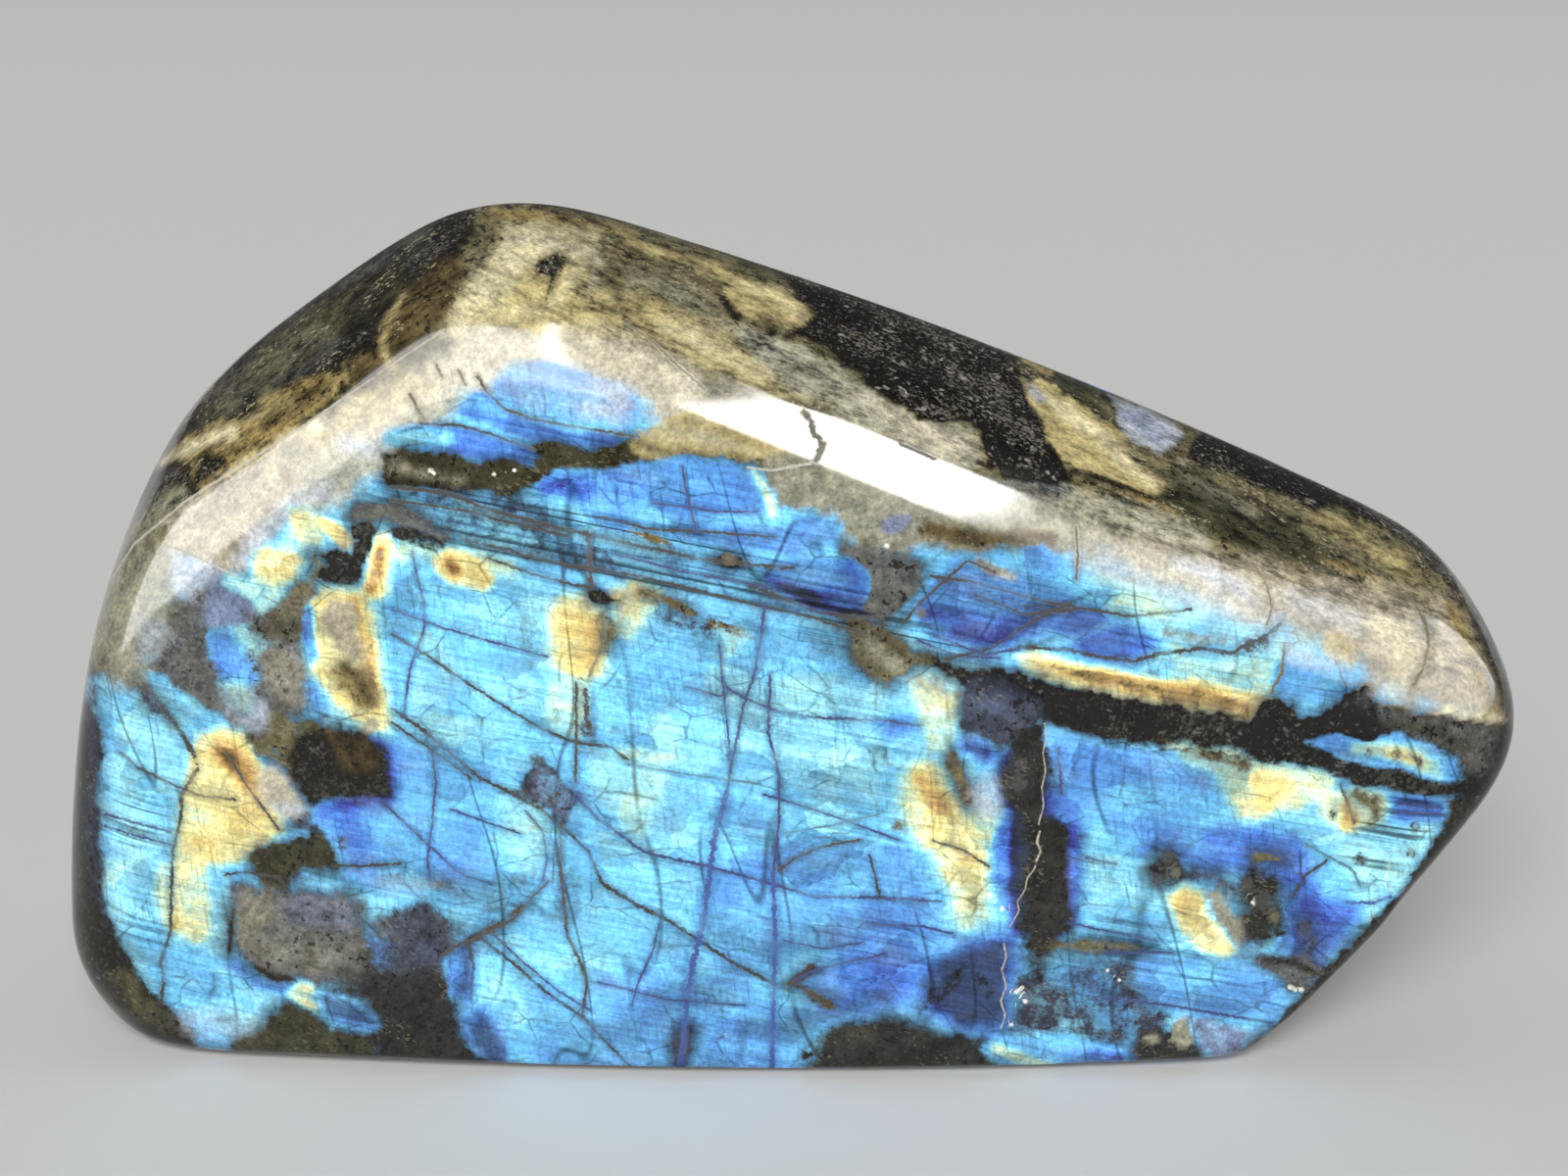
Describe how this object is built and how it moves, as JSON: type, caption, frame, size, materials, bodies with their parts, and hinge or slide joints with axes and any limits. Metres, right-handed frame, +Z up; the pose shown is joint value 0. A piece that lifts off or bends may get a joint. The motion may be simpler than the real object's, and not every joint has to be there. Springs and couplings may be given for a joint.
{
  "type": "polished labradorite freeform",
  "caption": "Polished freestanding labradorite: a broad domed face with blue and gold flash, a slanting rounded crest, an undercut end and a flat sawn base.",
  "frame": {"origin": "on the plane of the flat sawn base, under the middle of the stone's bounding box", "axes": "+X along the stone's length, towards the undercut end; +Y towards the back, so that the face that shows the colours looks along -Y; +Z up"},
  "size_m": [0.144, 0.0508, 0.0785],
  "materials": {
    "labradorite": "polished"
  },
  "bodies": {
    "root": {"stone": "labradorite"}
  },
  "joints": []
}
